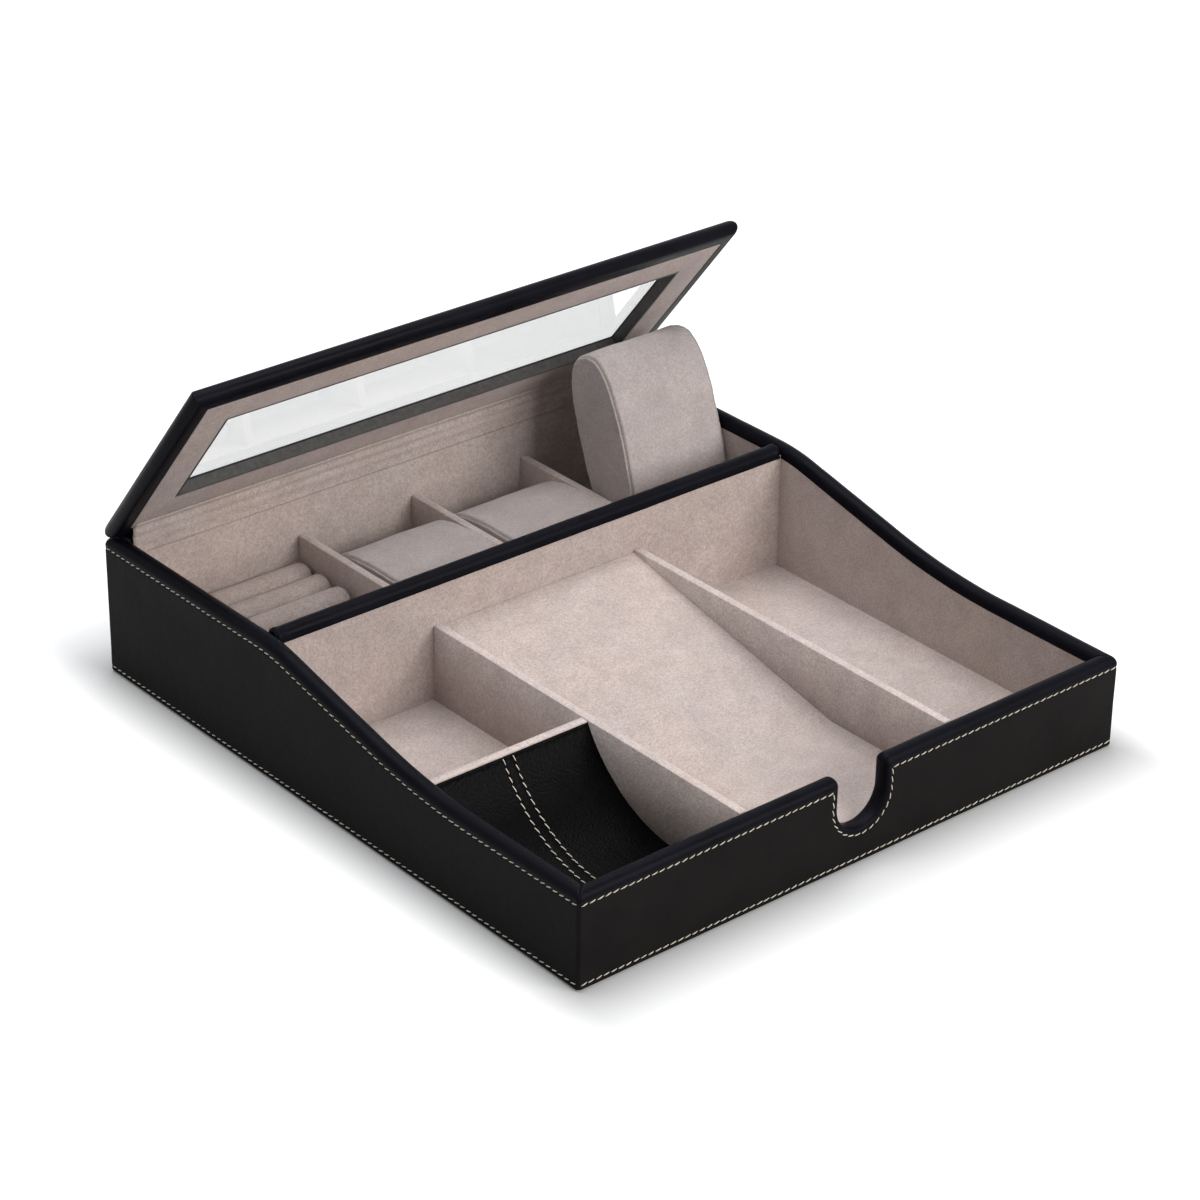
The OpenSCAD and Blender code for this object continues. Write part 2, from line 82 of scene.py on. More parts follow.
# Stitches: their pitch, size and slant, how much these vary, and where the lines of them run
STITCH_PITCH, STITCH_LENGTH, STITCH_RADIUS, STITCH_SLANT = 3.8, 3.5, 0.22, 13.0
STITCH_WANDER, STITCH_TURN, STITCH_LENGTH_SHARES = 0.12, 3.5, (0.94, 1.05)
STITCH_SIDES, STITCH_RINGS = 6, 7
TOP_LINE, BOTTOM_LINE, NOTCH_LINE = 5.3, 3.0, 3.2
LINE_OUT, LINE_END = 0.12, 1.2
SCOOP_LINES = (-105.8, -100.6)

# Drawn leather: how far it stands off its board, its pinch at a seam, and what it does at a corner
SKIN, PINCH_DEPTH, PINCH_HALF = 0.05, 0.30, 0.62
CORNER_DROP, CORNER_REACH, MITRE_REACH = 0.55, 1.5, 40
CORNER_STEPS = (0.0, 0.2, 0.5, 0.9, 1.4, 2.0, 3.0)

# Light: the floor's glow in its painted shadow near the tray and away from it, and how much of the white
# world lights things
PAINTED_SHADOW_GLOW, FLOOR_FAR, PAINTED_SHADOW_REACH, AMBIENT = 0.10, 0.78, 0.060, 0.25
FLOOR_HALF, FLOOR_Z, FLOOR_GREY, SIDE_FADE = 9.0, -0.0001, 0.44, 2.2

# Camera, in metres and degrees, as solved from the photo
CAMERA_PLACE = (-0.91475, -1.06785, 0.81271)
CAMERA_AZIMUTH, CAMERA_ELEVATION, CAMERA_ROLL = -40.484, 28.363, 0.908
FOCAL_PX, FRAME_PX, SENSOR_MM = 3698.96, 1200, 36.0


# Materials
def new_material(name):
    mat = bpy.data.materials.new(name)
    mat.use_nodes = True
    tree = mat.node_tree
    shader = next(n for n in tree.nodes if n.type == "BSDF_PRINCIPLED")
    coords = tree.nodes.new("ShaderNodeTexCoord")
    return mat, tree, shader, coords.outputs["Object"]


def noise_node(tree, coords, scale, detail=3.0, rough=0.5, distort=0.0):
    node = tree.nodes.new("ShaderNodeTexNoise")
    node.inputs["Scale"].default_value = scale
    node.inputs["Detail"].default_value = detail
    node.inputs["Roughness"].default_value = rough
    node.inputs["Distortion"].default_value = distort
    tree.links.new(coords, node.inputs["Vector"])
    return node.outputs["Fac"]


def cell_node(tree, coords, scale):
    node = tree.nodes.new("ShaderNodeTexVoronoi")
    node.inputs["Scale"].default_value = scale
    tree.links.new(coords, node.inputs["Vector"])
    return node.outputs["Distance"]


def ramp(tree, value, low, high, at_low, at_high):
    node = tree.nodes.new("ShaderNodeMapRange")
    node.inputs["From Min"].default_value = low
    node.inputs["From Max"].default_value = high
    node.inputs["To Min"].default_value = at_low
    node.inputs["To Max"].default_value = at_high
    tree.links.new(value, node.inputs["Value"])
    return node.outputs["Result"]


def mix_colour(tree, fac, a, b):
    node = tree.nodes.new("ShaderNodeMix")
    node.data_type = "RGBA"
    tree.links.new(fac, node.inputs["Factor"])
    for socket, value in ((node.inputs["A"], a), (node.inputs["B"], b)):
        if isinstance(value, tuple):
            socket.default_value = (*value, 1.0)
        else:
            tree.links.new(value, socket)
    return node.outputs["Result"]


def math_node(tree, op, a, b):
    node = tree.nodes.new("ShaderNodeMath")
    node.operation = op
    for socket, value in zip(node.inputs, (a, b)):
        if isinstance(value, (int, float)):
            socket.default_value = value
        else:
            tree.links.new(value, socket)
    return node.outputs[0]


def bump(tree, height, distance, strength=1.0, normal=None):
    node = tree.nodes.new("ShaderNodeBump")
    node.inputs["Distance"].default_value = distance
    node.inputs["Strength"].default_value = strength
    tree.links.new(height, node.inputs["Height"])
    if normal is not None:
        tree.links.new(normal, node.inputs["Normal"])
    return node.outputs["Normal"]


def leather(name, dark, light, rough, spec, grain, grain_scale):
    """Pored leather with slightly uneven colour and gloss; grain is the depth of its pores in metres."""
    mat, tree, shader, coords = new_material(name)
    cloudy = noise_node(tree, coords, 38.0, 4.0, 0.6)
    pores = cell_node(tree, coords, grain_scale)
    fine = noise_node(tree, coords, grain_scale * 2.2, 2.0)
    colour = mix_colour(tree, ramp(tree, cloudy, 0.3, 0.7, 0.0, 1.0), dark, light)
    tree.links.new(colour, shader.inputs["Base Color"])
    gloss = math_node(tree, "ADD", ramp(tree, cloudy, 0.3, 0.7, -0.05, 0.06),
                      ramp(tree, pores, 0.0, 0.8, rough + 0.05, rough - 0.04))
    tree.links.new(gloss, shader.inputs["Roughness"])
    shader.inputs["Specular IOR Level"].default_value = spec
    soft = bump(tree, noise_node(tree, coords, 130.0, 3.0, 0.55, 0.4), 0.00035, 0.5)
    pored = bump(tree, pores, grain, 0.7, soft)
    tree.links.new(bump(tree, fine, grain * 0.5, 0.5, pored), shader.inputs["Normal"])
    return mat


def suede(name, dark, warm, cool, nap=1.0):
    """Brushed microsuede: cloudy warm and cool patches, darker strokes and a speckle of fibres."""
    mat, tree, shader, coords = new_material(name)
    patches = noise_node(tree, coords, 24.0, 3.0, 0.6, 0.5)
    clouds = noise_node(tree, coords, 75.0, 4.0, 0.65, 0.4)
    brushed = noise_node(tree, coords, 480.0, 3.0, 0.7, 0.4)
    fibre = noise_node(tree, coords, 1000.0, 3.0, 0.75)
    hue = mix_colour(tree, ramp(tree, patches, 0.36, 0.64, 0.0, 1.0), warm, cool)
    shaded = mix_colour(tree, ramp(tree, clouds, 0.32, 0.68, 0.34, 0.0), hue, dark)
    stroked = mix_colour(tree, ramp(tree, brushed, 0.36, 0.64, 0.18, 0.0), shaded, dark)
    speckled = mix_colour(tree, ramp(tree, fibre, 0.36, 0.64, 0.56, 0.0), stroked, dark)
    tree.links.new(speckled, shader.inputs["Base Color"])
    tree.links.new(ramp(tree, brushed, 0.3, 0.7, 0.9, 1.0), shader.inputs["Roughness"])
    shader.inputs["Specular IOR Level"].default_value = 0.10
    shader.inputs["Sheen Weight"].default_value = 0.20
    shader.inputs["Sheen Roughness"].default_value = 0.45
    shader.inputs["Sheen Tint"].default_value = (0.95, 0.89, 0.86, 1.0)
    ruffled = bump(tree, clouds, 0.0005 * nap, 0.4)
    stroked_bump = bump(tree, brushed, 0.0003 * nap, 0.6, ruffled)
    tree.links.new(bump(tree, fibre, 0.00028 * nap, 0.9, stroked_bump), shader.inputs["Normal"])
    return mat


LEATHER = leather("leather_black", (0.0070, 0.0064, 0.0063), (0.0108, 0.0098, 0.0095),
                  rough=0.50, spec=0.030, grain=0.00006, grain_scale=1500.0)
# Darker, bluish black leather for the rims, the centre roll, the lid and the spine: a painted sheen of the
# overhead light
SHEEN_PAINTED_LEATHER = leather("leather_painted_sheen", (0.0022, 0.0023, 0.0040), (0.0040, 0.0042, 0.0072),
                      rough=0.36, spec=0.036, grain=0.00006, grain_scale=1500.0)
SCOOP_LEATHER = leather("leather_scoop", (0.0014, 0.0014, 0.0016), (0.0034, 0.0033, 0.0033),
                        rough=0.36, spec=0.026, grain=0.00026, grain_scale=850.0)
SUEDE = suede("suede_taupe", (0.262, 0.213, 0.192), (0.615, 0.515, 0.470), (0.580, 0.502, 0.482))
# The lid's lining: the same suede made darker, a painted shade
LID_SUEDE_PAINTED_SHADE = suede("suede_lid_painted_shade", (0.230, 0.185, 0.170), (0.520, 0.428, 0.392), (0.490, 0.420, 0.408))
# The dividers' suede: the same suede made lighter, painted light where the front light catches their tops
# and faces
DIVIDER_SUEDE_PAINTED_LIGHT = suede("suede_board", (0.285, 0.236, 0.216), (0.690, 0.588, 0.545), (0.655, 0.573, 0.553))
PILLOW_SUEDE = suede("suede_pillow", (0.275, 0.236, 0.226), (0.540, 0.476, 0.455), (0.520, 0.470, 0.462),
                     nap=0.8)


def plain(name, dark, light, scale, rough, spec, bump_depth):
    mat, tree, shader, coords = new_material(name)
    cloudy = noise_node(tree, coords, scale, 4.0, 0.6)
    colour = mix_colour(tree, ramp(tree, cloudy, 0.3, 0.7, 0.0, 1.0), dark, light)
    tree.links.new(colour, shader.inputs["Base Color"])
    tree.links.new(ramp(tree, cloudy, 0.3, 0.7, rough - 0.05, rough + 0.05), shader.inputs["Roughness"])
    shader.inputs["Specular IOR Level"].default_value = spec
    normal = bump(tree, noise_node(tree, coords, scale * 9, 3.0), bump_depth, 0.6)
    tree.links.new(normal, shader.inputs["Normal"])
    return mat


FELT = plain("felt_black", (0.012, 0.012, 0.013), (0.028, 0.028, 0.030), 700.0, 0.95, 0.1, 0.0003)
STAINED = plain("board_stained", (0.008, 0.008, 0.009), (0.016, 0.015, 0.016), 600.0, 0.70, 0.1, 0.00006)
TRIM = plain("trim_satin", (0.026, 0.024, 0.023), (0.050, 0.046, 0.043), 420.0, 0.42, 0.22, 0.00003)
THREAD = plain("thread_cream", (0.480, 0.432, 0.350), (0.750, 0.700, 0.600), 900.0, 0.75, 0.20, 0.00012)


def board_material():
    mat, tree, shader, coords = new_material("board_fibre")
    speck = noise_node(tree, coords, 900.0, 4.0, 0.7)
    colour = mix_colour(tree, ramp(tree, speck, 0.3, 0.7, 0.0, 1.0), (0.30, 0.19, 0.10), (0.48, 0.33, 0.19))
    tree.links.new(colour, shader.inputs["Base Color"])
    tree.links.new(ramp(tree, speck, 0.3, 0.7, 0.75, 0.9), shader.inputs["Roughness"])
    tree.links.new(bump(tree, speck, 0.0001, 0.6), shader.inputs["Normal"])
    return mat


def glass_material():
    mat, tree, shader, coords = new_material("glass_clear")
    haze = noise_node(tree, coords, 22.0, 3.0, 0.5)
    shader.inputs["Base Color"].default_value = (0.862, 0.870, 0.870, 1.0)
    tree.links.new(ramp(tree, haze, 0.3, 0.7, 0.0, 0.012), shader.inputs["Roughness"])
    shader.inputs["Transmission Weight"].default_value = 1.0
    shader.inputs["IOR"].default_value = 1.46
    return mat


BOARD = board_material()
GLASS = glass_material()


# Mesh helpers
def make_piece(name, verts, faces, mat, body):
    """A smooth mesh object from points in mm, riding on a body if one is given."""
    mesh = bpy.data.meshes.new(name)
    mesh.from_pydata([(x * MM, y * MM, z * MM) for x, y, z in verts], [], faces)
    mesh.validate()
    mesh.update()
    for poly in mesh.polygons:
        poly.use_smooth = True
    mesh.materials.append(mat)
    piece = bpy.data.objects.new(name, mesh)
    bpy.context.scene.collection.objects.link(piece)
    if body:
        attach(piece, body)
    return piece


def paint_rim_sheen(piece, polygons):
    """The polygons of a wall's rim take a darker, bluish leather: a painted sheen of the overhead light."""
    piece.data.materials.append(SHEEN_PAINTED_LEATHER)
    for k in polygons:
        piece.data.polygons[k].material_index = 1


def grid_faces(cols, rows, flip=False):
    faces = []
    for i in range(cols - 1):
        for j in range(rows - 1):
            a, b = i * rows + j, (i + 1) * rows + j
            quad = (a, b, b + 1, a + 1)
            faces.append(quad[::-1] if flip else quad)
    return faces


def tube_faces(base, loops, sides, flip=False):
    """Quads between closed loops of points that follow one another."""
    faces = []
    for i in range(loops - 1):
        for k in range(sides):
            a, b = base + i * sides + k, base + i * sides + (k + 1) % sides
            faces.append((a, a + sides, b + sides, b) if flip else (a, b, b + sides, a + sides))
    return faces


def spread(lo, hi, step):
    count = max(1, round((hi - lo) / step))
    return [lo + (hi - lo) * i / count for i in range(count + 1)]


def graded(half, steps, margin, pitch):
    """Places from -half to half, closer together towards both ends."""
    return ([-half + e for e in steps] + spread(-half + margin, half - margin, pitch)
            + [half - e for e in steps[::-1]])


def soft_noise(x, y, z, scale, amp):
    return amp * noise.noise(Vector((x, y, z)) / scale)


def skin_waves(x, y, z):
    return soft_noise(x, y, z, 26.0, 0.10) + soft_noise(x, y, z, 7.0, 0.035)


# Stitches
def stitch_run(verts, faces, points, seed, start):
    """Stitches along a polyline of (place, outward normal), one after another."""
    rand = random.Random(seed)
    total, marks = 0.0, [0.0]
    for a, b in zip(points, points[1:]):
        total += (b[0] - a[0]).length
        marks.append(total)

    def at(dist):
        dist = min(max(dist, 0.0), total)
        k = 0
        while k < len(marks) - 2 and marks[k + 1] < dist:
            k += 1
        span = marks[k + 1] - marks[k]
        f = (dist - marks[k]) / span if span > 0 else 0.0
        place = points[k][0].lerp(points[k + 1][0], f)
        normal = points[k][1].lerp(points[k + 1][1], f).normalized()
        return place, normal

    count = int((total - 2 * start) / STITCH_PITCH)
    pitch = (total - 2 * start) / max(count, 1)
    for i in range(count):
        mid = start + (i + 0.5) * pitch + rand.uniform(-STITCH_WANDER, STITCH_WANDER)
        half = STITCH_LENGTH / 2 * rand.uniform(*STITCH_LENGTH_SHARES)
        turn = math.radians(STITCH_SLANT + rand.uniform(-STITCH_TURN, STITCH_TURN))
        centre, normal = at(mid)
        ahead, _ = at(mid + 0.3)
        behind, _ = at(mid - 0.3)
        along = (ahead - behind).normalized()
        across = normal.cross(along).normalized()
        along = (along * math.cos(turn) + across * math.sin(turn)).normalized()
        across = normal.cross(along).normalized()
        base = len(verts)
        # blunt ends that dive into the leather, and a middle that stands proud of it
        for r in range(STITCH_RINGS):
            u = -1 + 2 * r / (STITCH_RINGS - 1)
            width = STITCH_RADIUS * math.sqrt(max(0.0, 1 - abs(u) ** 3.2)) + 0.03
            rise = STITCH_RADIUS * (1.05 * math.cos(u * math.pi / 2) ** 0.6 - 0.75)
            spine = centre + along * (half * u) + normal * rise
            for k in range(STITCH_SIDES):
                a = 2 * math.pi * (k + 0.5) / STITCH_SIDES
                p = spine + across * (width * math.cos(a)) + normal * (width * math.sin(a))
                verts.append(tuple(p))
        last = base + (STITCH_RINGS - 1) * STITCH_SIDES
        faces += tube_faces(base, STITCH_RINGS, STITCH_SIDES)
        faces.append(tuple(base + k for k in range(STITCH_SIDES))[::-1])
        faces.append(tuple(last + k for k in range(STITCH_SIDES)))


def thread_piece(name, runs):
    verts, faces = [], []
    for i, (points, start) in enumerate(runs):
        stitch_run(verts, faces, points, len(name) * 31 + i, start)
    make_piece(name, verts, faces, THREAD, "box")


# Leather walls
def side_rim(y):
    """Height of the side rims at y, and the cosine of their slope."""
    if y >= CREST_Y:
        return RIM_HIGH, 1.0
    if y >= SLOPE_TOP[0]:
        run = CREST_Y - y
        height = RIM_HIGH - CREST_RADIUS + math.sqrt(CREST_RADIUS ** 2 - run ** 2)
        return height, math.sqrt(1 - (run / CREST_RADIUS) ** 2)
    if y >= SLOPE_END_Y:
        return SLOPE_TOP[1] - (SLOPE_TOP[0] - y) * SLOPE_SIN / SLOPE_COS, SLOPE_COS
    if y >= DIP_Y:
        run = y - DIP_Y
        height = RIM_LOW + DIP_RADIUS - math.sqrt(DIP_RADIUS ** 2 - run ** 2)
        return height, math.sqrt(1 - (run / DIP_RADIUS) ** 2)
    return RIM_LOW, 1.0


def mitred(s, d, half):
    """The place s along a wall, drawn in towards its middle by the depth d where the wall is mitred."""
    ramp_share = min(max((abs(s) - (half - MITRE_REACH)) / MITRE_REACH, 0.0), 1.0)
    return s - math.copysign(d * ramp_share, s)


# Rows of a wall's leather, from the foot up. FOOT_ROWS and LIP give depth, height or fall, and normal
FOOT_ROWS = [(2.2, 0.5, 0.0, -1.0), (0.95, 0.42, -0.4, -0.9),
             (0.28, 0.72, -0.9, -0.4), (0.0, 1.35, -1.0, 0.0)]
FOOT_HEIGHTS = [1.9, 2.35, 2.7, 3.0, 3.3, 3.65, 4.2, 5.0, 6.4]
EDGE_DROPS = [8.3, 7.3, 6.5, 6.0, 5.65, 5.3, 4.95, 4.6, 4.3]
FILL_ROWS = 9
ROLL_STEPS = 14
LIP = [(8.12, 0.5, 1.0, 0.0), (8.14, 1.0, 1.0, 0.0), (8.08, 1.35, 1.0, -0.3), (7.8, 1.5, 0.6, -0.8)]


def wall_rows(rim, slope_cos):
    """Section of a wall's leather: depth, height, outward normal in depth and height."""
    rows = list(FOOT_ROWS) + [(0.0, z, -1.0, 0.0) for z in FOOT_HEIGHTS]
    low, high = FOOT_HEIGHTS[-1], rim - EDGE_DROPS[0] / slope_cos
    rows += [(0.0, low + (high - low) * (k + 1) / (FILL_ROWS + 1), -1.0, 0.0) for k in range(FILL_ROWS)]
    rows += [(0.0, rim - drop / slope_cos, -1.0, 0.0) for drop in EDGE_DROPS]
    for k in range(ROLL_STEPS + 1):
        a = math.pi * k / ROLL_STEPS
        swell = 1.0 + 0.012 * math.sin(a)
        depth = ROLL_RADIUS + SKIN - (ROLL_RADIUS + SKIN) * math.cos(a)
        fall = ROLL_RADIUS - ROLL_RADIUS * math.sin(a) * swell + SKIN
        rows.append((depth, rim - fall / slope_cos, -math.cos(a), math.sin(a)))
    rows += [(d, rim - (ROLL_RADIUS + drop) / slope_cos, nd, nz) for d, drop, nd, nz in LIP]
    return rows


def pinch(dist, s):
    """Depth of the leather's pinch at a stitch line, less between two stitches."""
    ripple = 0.72 + 0.28 * math.cos(2 * math.pi * s / STITCH_PITCH)
    return PINCH_DEPTH * math.exp(-(dist / PINCH_HALF) ** 2) * ripple


def corner_drop(edge):
    return CORNER_DROP * (1 - edge / CORNER_REACH) ** 2 if edge < CORNER_REACH else 0.0


def wall_cover(name, half, rim_at, place, flip, top_line=True):
    """A wall's leather, from under its foot over the roll of its rim to a lip inside."""
    cols = graded(half, CORNER_STEPS, 4, 0.95)
    verts = []
    for s in cols:
        rim, slope_cos = rim_at(s)
        section = wall_rows(rim, slope_cos)
        drop = corner_drop(half - abs(s))
        for d, z, nd, nz in section:
            lift = skin_waves(*place(s, d, z))
            if d == 0.0:
                lift -= pinch(z - BOTTOM_LINE, s)
                if top_line:
                    lift -= pinch((rim - TOP_LINE / slope_cos - z) * slope_cos, s)
            lift = min(lift, SKIN) - drop
            d2, z2 = d + nd * lift, z + nz * lift
            verts.append(place(mitred(s, max(d2, 0.0), half), d2, z2))
    rows = len(section)
    piece = make_piece(name, verts, grid_faces(len(cols), rows, flip), LEATHER, "box")
    first_roll = rows - len(LIP) - ROLL_STEPS - 2
    # the rim's faces take the leather with the painted bluish sheen
    paint_rim_sheen(piece, [k for k in range(len(piece.data.polygons)) if k % (rows - 1) >= first_roll])
    return piece


def level_rim(height):
    return lambda s: (height, 1.0)


def left_place(s, d, z):
    return (-SIDE_X + d, s, z)


def right_place(s, d, z):
    return (SIDE_X - d, s, z)


def back_place(s, d, z):
    return (s, END_Y - d, z)


def front_place(s, d, z):
    return (s, -END_Y + d, z)


left_skin = wall_cover("left_leather", END_Y, side_rim, left_place, True)
right_skin = wall_cover("right_leather", END_Y, side_rim, right_place, False)
back_skin = wall_cover("back_leather", SIDE_X, level_rim(RIM_HIGH), back_place, True, top_line=False)
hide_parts("left_cover")
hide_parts("right_cover")
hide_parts("back_cover")


# Leather roll of the centre wall
CENTRE_LIP = [(4.30, 0.5, 1.0, 0.0), (4.34, 1.0, 1.0, 0.0), (4.30, 1.35, 1.0, -0.3), (3.8, 1.5, 0.6, -0.8)]
CENTRE_END_STEPS = (0.0, 0.25, 0.6, 1.0, 1.5, 2.1, 3.0, 4.2)


def centre_roll():
    """A roll over the centre wall, gathered where its ends meet the side rims."""
    half = INNER_X + 0.1
    cols = graded(half, CENTRE_END_STEPS, 5.5, 1.2)
    reach = ROLL_RADIUS + SKIN
    section = [(-d, -fall, -nd, nz) for d, fall, nd, nz in CENTRE_LIP[::-1]]
    for k in range(ROLL_STEPS + 1):
        a = math.pi * k / ROLL_STEPS
        section.append((-reach * math.cos(a), reach * math.sin(a), -math.cos(a), math.sin(a)))
    section += [(d, -fall, nd, nz) for d, fall, nd, nz in CENTRE_LIP]
    verts = []
    for x in cols:
        edge = half - abs(x)
        # a swollen ring close to each end, and a tight nip at the end itself
        swell = 0.30 * math.exp(-((edge - 1.9) / 1.1) ** 2) - 0.75 * math.exp(-(edge / 0.55) ** 2)
        for k, (dy, dz, ny, nz) in enumerate(section):
            y, z = CENTRE_Y + dy, CENTRE_Z + dz
            lift = soft_noise(x, y, z, 24.0, 0.14) + soft_noise(x, y, z, 7.0, 0.05)
            gather = 0.16 * math.exp(-edge / 3.0) * math.sin(k * 2.4 + x * 0.2)
            lift = min(lift, 0.08) + swell + gather
            verts.append((x, y + ny * lift, z + nz * lift))
    faces = grid_faces(len(cols), len(section), True)
    count = len(section)
    faces.append(tuple(range(count)))
    faces.append(tuple(range((len(cols) - 1) * count, len(cols) * count))[::-1])
    # the roll takes the leather with the painted bluish sheen
    piece = make_piece("centre_leather", verts, faces, SHEEN_PAINTED_LEATHER, "box")
    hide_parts("centre_wall_cover")


centre_roll()


# Front wall with the cable notch

# Width of the rounded edge round the notch, and the steps that lead up to it and round it
NOTCH_EDGE = 2.3
NOTCH_STEPS = (1.8, 1.3, 0.9, 0.55, 0.2, 0.0)
NOTCH_ARC_STEPS, EDGE_TURN_STEPS = 44, 8
EDGE_HALF = NOTCH_HALF + NOTCH_EDGE
EDGE_Z = RIM_LOW - ROLL_RADIUS
STITCH_HALF = NOTCH_HALF + NOTCH_LINE


def front_stitch_distance(x, z):
    """Distance to the front wall's upper stitch line, and a running length along it."""
    ax = abs(x)
    line_z = RIM_LOW - TOP_LINE
    best = (9.0, 0.0)
    if ax >= STITCH_HALF:
        best = min(best, (abs(z - line_z), ax))
    if NOTCH_Z <= z <= line_z:
        best = min(best, (abs(ax - STITCH_HALF), z))
    if z < NOTCH_Z:
        r = math.hypot(x, z - NOTCH_Z)
        best = min(best, (abs(r - STITCH_HALF), STITCH_HALF * math.atan2(x, NOTCH_Z - z)))
    corner = math.hypot(ax - STITCH_HALF, z - line_z)
    return min(best, (corner, ax))


def front_point(x, d, z, nd, nx, nz, drop):
    lift = skin_waves(x, -END_Y + d, z)
    if d < 0.4:
        dist, run = front_stitch_distance(x, z)
        lift -= pinch(z - BOTTOM_LINE, x) + pinch(dist, run)
    lift = min(lift, SKIN) - drop
    d2 = d + nd * lift
    return front_place(mitred(x + nx * lift, max(d2, 0.0), SIDE_X), d2, z + nz * lift)


def rows_between(z_low, z_high, count):
    """Heights above z_low, in even steps, up to z_high."""
    return [z_low + (z_high - z_low) * k / count for k in range(1, count + 1)]


def front_cover():
    """The front wall's leather: two side panels, one round the notch, and a strip along all their edges."""
    verts, faces, cache = [], [], {}

    def vert(x, d, z, nd=-1.0, nx=0.0, nz=0.0, drop=0.0):
        key = (round(x, 3), round(d, 3), round(z, 3))
        if key not in cache:
            cache[key] = len(verts)
            verts.append(front_point(x, d, z, nd, nx, nz, drop))
        return cache[key]

    def panel(columns):
        for a, b in zip(columns, columns[1:]):
            for j in range(len(a) - 1):
                face = tuple(dict.fromkeys((a[j], b[j], b[j + 1], a[j + 1])))
                if len(face) > 2:
                    faces.append(face)

    def drop_at(x):
        return corner_drop(SIDE_X - abs(x))

    low = FOOT_HEIGHTS[-1]
    upper = [RIM_LOW - drop for drop in EDGE_DROPS if RIM_LOW - drop < EDGE_Z - 0.1] + [EDGE_Z]
    mid_rows = rows_between(low, NOTCH_Z, 9)
    side_rows = mid_rows + rows_between(NOTCH_Z, upper[0], 4)[:-1] + upper

    def foot(x):
        drop = drop_at(x)
        column = [vert(x, d, z, nd, 0.0, nz, drop) for d, z, nd, nz in FOOT_ROWS]
        return column + [vert(x, 0.0, z, drop=drop) for z in FOOT_HEIGHTS]

    outer = ([-SIDE_X + e for e in CORNER_STEPS] + spread(-SIDE_X + 4, -EDGE_HALF - 2.4, 0.95)
             + [-EDGE_HALF - e for e in NOTCH_STEPS])
    for sign in (1, -1):
        xs = [x * sign for x in outer]
        columns = [foot(x) + [vert(x, 0.0, z, drop=drop_at(x)) for z in side_rows] for x in xs]
        panel(columns if sign == 1 else columns[::-1])

    angles = [math.pi * k / NOTCH_ARC_STEPS for k in range(NOTCH_ARC_STEPS + 1)]
    columns = []
    for a in angles:
        x, top = -EDGE_HALF * math.cos(a), NOTCH_Z - EDGE_HALF * math.sin(a)
        blend = min(1.0, a / 0.35, (math.pi - a) / 0.35)
        count = len(mid_rows)
        shares = [k / count + (1 - k / count - (1 - k / count) ** 1.5) * blend for k in range(1, count)]
        columns.append(foot(x) + [vert(x, 0.0, low + (top - low) * q) for q in shares + [1.0]])
    panel(columns)
    face_count = len(faces)

    # The strip's path: place, direction out, and 0 along the rim to 1 round the notch
    path = [(x, EDGE_Z, 0.0, 1.0, 0.0) for x in outer]
    for k in range(1, EDGE_TURN_STEPS + 1):
        a = math.pi / 2 * k / EDGE_TURN_STEPS
        path.append((-EDGE_HALF, EDGE_Z, math.sin(a), math.cos(a), k / EDGE_TURN_STEPS))
    path += [(-EDGE_HALF, z, 1.0, 0.0, 1.0) for z in side_rows[::-1] if NOTCH_Z <= z < EDGE_Z - 0.01]
    mirrored = path[::-1]
    for a in angles[1:-1]:
        c, s = math.cos(a), math.sin(a)
        path.append((-EDGE_HALF * c, NOTCH_Z - EDGE_HALF * s, c, s, 1.0))
    path += [(-x, z, -nx, nz, w) for x, z, nx, nz, w in mirrored]
    columns = []
    for x, z, nx, nz, w in path:
        # over the roll, from the face to the inside, and down to the lip
        reach = ROLL_RADIUS + (NOTCH_EDGE - ROLL_RADIUS) * w
        drop = drop_at(x)
        column = [vert(x, 0.0, z, drop=drop)]
        for k in range(1, ROLL_STEPS + 1):
            a = math.pi * k / ROLL_STEPS
            out = reach * math.sin(a) ** (1.0 - 0.35 * w) if k < ROLL_STEPS else 0.0
            d = ROLL_RADIUS + SKIN - (ROLL_RADIUS + SKIN) * math.cos(a)
            column.append(vert(x + nx * out, d, z + nz * out,
                               -math.cos(a), nx * math.sin(a), nz * math.sin(a), drop))
        for d, fall, nd, _ in LIP:
            fall_here = fall * (1 - 0.4 * w)
            column.append(vert(x - nx * fall_here, d, z - nz * fall_here, nd, 0.0, 0.0, drop))
        columns.append(column)
    panel(columns)
    piece = make_piece("front_leather", verts, faces, LEATHER, "box")
    # the strip over the rim and round the notch takes the leather with the painted bluish sheen
    paint_rim_sheen(piece, range(face_count, len(piece.data.polygons)))
    return piece


front_skin = front_cover()
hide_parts("front_cover", "notch_liner")


# Stitch lines of the walls
def side_line(place, sign, drop_or_z, from_rim):
    """A line of stitches on a side wall: at a drop below its rim, or else at one height."""
    points = []
    for s in spread(-END_Y + LINE_END, END_Y - LINE_END, 2.0):
        rim, slope_cos = side_rim(s)
        z = rim - drop_or_z / slope_cos if from_rim else drop_or_z
        points.append((Vector(place(s, LINE_OUT, z)), Vector((sign, 0.0, 0.0))))
    return points


def cross_line(place, sign, z):
    out = Vector((0.0, sign, 0.0))
    reach = SIDE_X - LINE_END
    return [(Vector(place(s, LINE_OUT, z)), out) for s in spread(-reach, reach, 3.0)]


